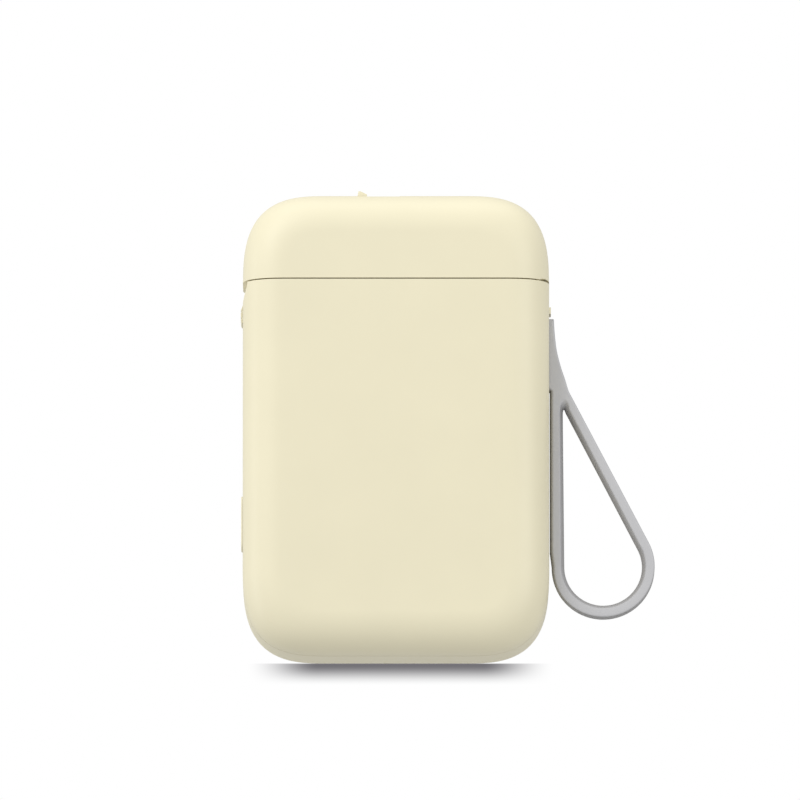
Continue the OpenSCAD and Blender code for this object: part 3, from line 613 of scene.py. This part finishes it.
def strap():
    low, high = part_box("strap")
    centre = Vector((high.x - STRAP_LOOP_R, low.z + STRAP_LOOP_R))
    leg_side = HALF_W + STRAP_LEG_GAP
    reach = Vector((43.3 * MM, 64 * MM)) - centre
    turn = math.atan2(reach.y, reach.x) - (math.pi / 2 - math.asin(STRAP_LOOP_R / reach.length))

    def arc(r):
        span = math.pi + turn
        return [(centre.x + r * math.cos(math.pi + span * i / ARC_STEPS),
                 centre.y + r * math.sin(math.pi + span * i / ARC_STEPS)) for i in range(ARC_STEPS + 1)]

    outer_arc, inner_arc = arc(STRAP_LOOP_R), arc(STRAP_LOOP_R - STRAP_BAND)
    shoulder = curve(NECK) + [(38.5 * MM, high.z), (36 * MM, high.z), (STRAP_IN, high.z - 0.6 * MM),
                              (STRAP_IN, STRAP_STEP_Z), (leg_side - 0.3 * MM, STRAP_STEP_Z),
                              (leg_side, STRAP_STEP_Z - 0.6 * MM), (leg_side, 26 * MM)]
    outline, hole = outer_arc + shoulder, inner_arc + curve(CROTCH, 3)
    count = len(outer_arc)
    wide = [max(0, 1 - i / LEG_FADE_STEPS) for i in range(count)] + [0] * (len(shoulder) - 2) + [1, 1]
    narrow_face, wide_face = offset(outline, OUTER_EDGE), offset(outline, LEG_EDGE)
    outline_face = [p.lerp(q, t) for p, q, t in zip(narrow_face, wide_face, wide)]
    outline_deep = [OUTER_EDGE + (LEG_DEEP - OUTER_EDGE) * t for t in wide]
    hole_face = offset(hole, -INNER_EDGE)[:count] + [Vector(p) for p in curve(BROW, 3)]
    bm = bmesh.new()
    rings = []
    for y, steps in ((low.y, range(EDGE_STEPS + 1)), (high.y, range(EDGE_STEPS, -1, -1))):
        for i in steps:
            lines = []
            for line, face, deep, power in ((outline, outline_face, outline_deep, 2.0),
                                            (hole, hole_face, [INNER_DEEP] * len(hole), 1.25)):
                u, w = bulge(i / EDGE_STEPS, power)
                places = [Vector(p).lerp(q, 1 - w) for p, q in zip(line, face)]
                lines.append([bm.verts.new((p.x, y + math.copysign(d * (1 - u), -y), p.y))
                              for p, d in zip(places, deep)])
            rings.append(lines)
    for a, b in zip(rings, rings[1:]):
        for near, far in zip(a, b):
            for i in range(len(near)):
                j = (i + 1) % len(near)
                bm.faces.new((near[i], near[j], far[j], far[i]))
    for out_line, in_line in (rings[0], rings[-1]):
        for i in range(count - 1):
            bm.faces.new((out_line[i], out_line[i + 1], in_line[i + 1], in_line[i]))
        bm.faces.new(out_line[count - 1:] + [out_line[0], in_line[0]] + in_line[:count - 2:-1])
    piece = from_bmesh("strap_band", bm)
    modifier(piece, "WEIGHTED_NORMAL", keep_sharp=False, weight=60)
    stand_for(piece, "strap", "strap_grey", "strap")


# ---------------------------------------------------------------- buttons


def power_button():
    outline = rounded_rectangle((POWER_LOW.y, POWER_LOW.z), (POWER_HIGH.y, POWER_HIGH.z), 2 * MM, 8)
    cap = prism("power_button_cap", outline, on_x, POWER_LOW.x, -HALF_W + 2.4 * MM)
    soften(cap, 0.3 * MM, 4)
    stand_for(cap, "power_button", "case_cream", "power_button")
    low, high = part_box("power_button")
    flange = prism("power_button_flange", rounded_rectangle((low.y, low.z), (high.y, high.z), 2.4 * MM, 8),
                   on_x, -HALF_W + 2.3 * MM, high.x)
    stand_for(flange, "power_button", "case_cream")


SLIDE_Z = (87.8 * MM, 89 * MM)
SLIDE_END = -27.6 * MM
SLIDE_W = 4 * MM
HOOK_WINDOW = ((-34.1 * MM, 0.7 * MM, 80 * MM), (-30.9 * MM, 3.3 * MM, 95 * MM))


def release_button():
    low, high = RELEASE_LOW, RELEASE_HIGH
    profile = [(1.6, 0), (1.6, 7.4), (0.85, 7.4), (0.1, 4.7), (-0.3, 3.6)]
    for groove in (2.8, 1.1):
        profile += [(-0.55, groove + 0.3), (-0.2, groove + 0.1),
                    (-0.2, groove - 0.15), (-0.55, groove - 0.35)]
    profile += [(-0.5, 0.5), (-0.3, 0)]
    outline = [(-HALF_W + x * MM, low.z + z * MM) for x, z in profile]
    cap = prism("lid_release_cap", outline, on_y, low.y, high.y)
    soften(cap, 0.12 * MM, 3)
    stand_for(cap, "release", "case_cream", "lid_release_button")
    slide = block("lid_release_slide", (-HALF_W + 1.5 * MM, 0, SLIDE_Z[0]), (SLIDE_END, SLIDE_W, SLIDE_Z[1]))
    cut(slide, block("hook_window", *HOOK_WINDOW))
    soften(slide, 0.1 * MM, 2)
    stand_for(slide, "release", "case_cream")
    lip = 0.8 * MM
    flange = block("lid_release_flange", (-HALF_W + 2.1 * MM, low.y - lip, low.z - lip),
                   (-HALF_W + 2.9 * MM, high.y + lip, high.z - 1 * MM))
    stand_for(flange, "release", "case_cream")


# ---------------------------------------------------------------- springs as true coils


def helix(name, start, end, radius, wire, turns, slot, body, *nodes):
    """A closed coil of round wire that stands for the nodes."""
    steps = 20
    count = turns * steps
    axis = (end - start).normalized()
    side = axis.orthogonal().normalized()
    other = axis.cross(side)
    bm = bmesh.new()
    rings = []
    for k in range(count + 1):
        t = k / count
        a = 2 * math.pi * turns * t
        out = side * math.cos(a) + other * math.sin(a)
        middle = start.lerp(end, t) + out * radius
        rings.append([bm.verts.new(middle + (out * math.cos(b) + axis * math.sin(b)) * wire)
                      for b in (2 * math.pi * j / 8 for j in range(8))])
    for a, b in zip(rings, rings[1:]):
        for j in range(8):
            bm.faces.new((a[j], a[(j + 1) % 8], b[(j + 1) % 8], b[j]))
    bm.faces.new(rings[0][::-1])
    bm.faces.new(rings[-1])
    piece = from_bmesh(name, bm)
    stand_for(piece, body, slot, *nodes)


END_GAP = 0.2 * MM
HEAD_SPRING_IN = 1.4 * MM


def springs():
    low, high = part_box("release_spring")
    y, z = (low.y + high.y) / 2, (low.z + high.z) / 2
    helix("release_spring_coil", Vector((low.x + END_GAP, y, z)), Vector((high.x - END_GAP, y, z)),
          1.1 * MM, 0.2 * MM, 6, "steel", "case", "release_spring")
    low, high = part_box("head_springs")
    z = (low.z + high.z) / 2
    pair = (("a", low.y + HEAD_SPRING_IN, ("head_springs",)), ("b", high.y - HEAD_SPRING_IN, ()))
    for letter, y, nodes in pair:
        helix(f"head_spring_coil_{letter}", Vector((low.x + END_GAP, y, z)), Vector((high.x - END_GAP, y, z)),
              1.2 * MM, 0.18 * MM, 6, "steel", "case", *nodes)


# ---------------------------------------------------------------- carried-over nodes


# Width of each carried-over node's softened edges, in millimetres
SOFT_EDGES = {
    "strap_collar": 0.25, "hinge_bracket": 0.15, "tear_bar": 0.08, "roll_bay": 0.25, "lid_liner": 0.2,
    "latch_hook": 0.12, "battery": 0.9, "print_frame": 0.1, "head_heatsink": 0.12, "usb_port": 0.1,
    "stepper_motor": 0.2, "power_switch": 0.1, "board_chips": 0.08, "radio_module": 0.12,
    "battery_pad": 0.2, "platen_rubber": 0.15, "case_screws": 0.1, "platen_bushes": 0.08,
}


def dress_nodes():
    for name, piece in frame["nodes"].items():
        dress(piece, NODE_SLOT[name])
        if name in SOFT_EDGES:
            modifier(piece, "WELD", merge_threshold=1e-6)
            soften(piece, SOFT_EDGES[name] * MM, 2, 40.0)


# ---------------------------------------------------------------- stage


FLOOR = 3.0
WORLD_LIGHT = 0.63


def stage_material():
    """Pale paper sweep. Only its upper side shows."""
    n = Nodes("stage_pale", 0.9, specular=0.1)
    n.join(n.ramp(n.noise(8.0), linear(246, 246, 246), linear(250, 250, 250)), "Base Color")
    above = n.spread(n.add("NewGeometry").outputs["Backfacing"], 1.0, 0.0)
    n.see_through(n.shader, n.math("MULTIPLY", above, n.add("LightPath").outputs["Is Camera Ray"]))
    return n.material


def shadow_material():
    """Painted shadow: soft grey that fades out round the foot of the case. Only the camera sees it."""
    n = Nodes("stage_shadow", 1.0, specular=0.0)
    axes = n.add("SeparateXYZ", Vector=n.place).outputs

    def fade(value, start, end):
        node = n.add("MapRange", Value=value)
        node.interpolation_type = "SMOOTHSTEP"
        for name, amount in (("From Min", start), ("From Max", end), ("To Min", 1.0), ("To Max", 0.0)):
            node.inputs[name].default_value = amount
        return node.outputs["Result"]

    across = n.math("ABSOLUTE", n.math("SUBTRACT", axes["X"], 1 * MM))
    shown = n.math("MULTIPLY", fade(across, 20 * MM, 38 * MM), fade(axes["Y"], 10 * MM, 50 * MM))
    shown = n.math("MULTIPLY", shown, fade(axes["Y"], 8 * MM, 6 * MM))
    # Painted shadow: a glowing grey, not a shadow cast by the lamps
    painted_shadow = n.add("Emission")
    painted_shadow.inputs["Color"].default_value = linear(116, 114, 118)
    n.see_through(painted_shadow, n.math("MULTIPLY", shown, n.add("LightPath").outputs["Is Camera Ray"]))
    return n.material


def card(name, low, high, z, material):
    """A level rectangle of the stage, from one corner (x, y) to the other."""
    bm = bmesh.new()
    bm.faces.new([bm.verts.new((x, y, z))
                  for x, y in ((low[0], low[1]), (high[0], low[1]), (high[0], high[1]), (low[0], high[1]))])
    data = bpy.data.meshes.new(name)
    bm.to_mesh(data)
    bm.free()
    piece = new_object(name, data)
    piece.data.materials.append(material)


def stage():
    card("floor", (-FLOOR, -FLOOR), (FLOOR, FLOOR), 0, stage_material())
    # Painted shadow card just under the floor, below the case's foot
    card("floor_shadow", (-0.09, 0.006), (0.09, 0.09), -0.3 * MM, shadow_material())
    world = bpy.data.worlds.new("studio")
    bpy.context.scene.world = world
    world.use_nodes = True
    tree = world.node_tree
    back = tree.nodes["Background"]
    back.inputs["Color"].default_value = (1, 1, 1, 1)
    path = tree.nodes.new("ShaderNodeLightPath")
    strength = tree.nodes.new("ShaderNodeMapRange")
    tree.links.new(path.outputs["Is Camera Ray"], strength.inputs["Value"])
    strength.inputs["To Min"].default_value = WORLD_LIGHT
    strength.inputs["To Max"].default_value = 1.0
    tree.links.new(strength.outputs["Result"], back.inputs["Strength"])
    bpy.context.scene.view_settings.view_transform = "Standard"


def lamp(name, place, size, power):
    data = bpy.data.lights.new(name, "AREA")
    data.shape = "RECTANGLE"
    data.size, data.size_y = size
    data.energy = power
    light = bpy.data.objects.new(name, data)
    bpy.context.scene.collection.objects.link(light)
    light.location = place
    light.rotation_euler = (Vector(LIGHT_AIM) - Vector(place)).to_track_quat("-Z", "Y").to_euler()


# Soft boxes as (name, place, size, power), all turned to LIGHT_AIM
LIGHT_AIM = (0, 0, 0.06)
LAMPS = [
    ("key", (-0.75, -0.85, 0.75), (0.7, 0.9), 6.6),
    ("top", (0.0, -0.1, 1.1), (0.9, 0.6), 2.6),
    ("fill", (0.9, -0.9, 0.25), (0.8, 0.8), 4.6),
    ("left", (-1.2, -0.1, 0.05), (0.5, 0.9), 3.2),
]
CAMERA_DISTANCE = 6.0
CAMERA_TILT = math.radians(8)
CAMERA_AIM = Vector((0.98 * MM, 0, 63.9 * MM))
FRAME_WIDTH = 196 * MM


def camera():
    data = bpy.data.cameras.new("camera")
    cam = bpy.data.objects.new("camera", data)
    bpy.context.scene.collection.objects.link(cam)
    bpy.context.scene.camera = cam
    data.sensor_width = 36
    data.lens = data.sensor_width * CAMERA_DISTANCE / FRAME_WIDTH
    data.clip_start = 1
    data.clip_end = 40
    look = Vector((0, math.cos(CAMERA_TILT), math.sin(CAMERA_TILT)))
    cam.location = CAMERA_AIM - look * CAMERA_DISTANCE
    cam.rotation_euler = look.to_track_quat("-Z", "Y").to_euler()


camera()
dress_nodes()
front_shell()
rear_shell()
lid_shell()
strap()
power_button()
release_button()
springs()
stage()
for settings in LAMPS:
    lamp(*settings)
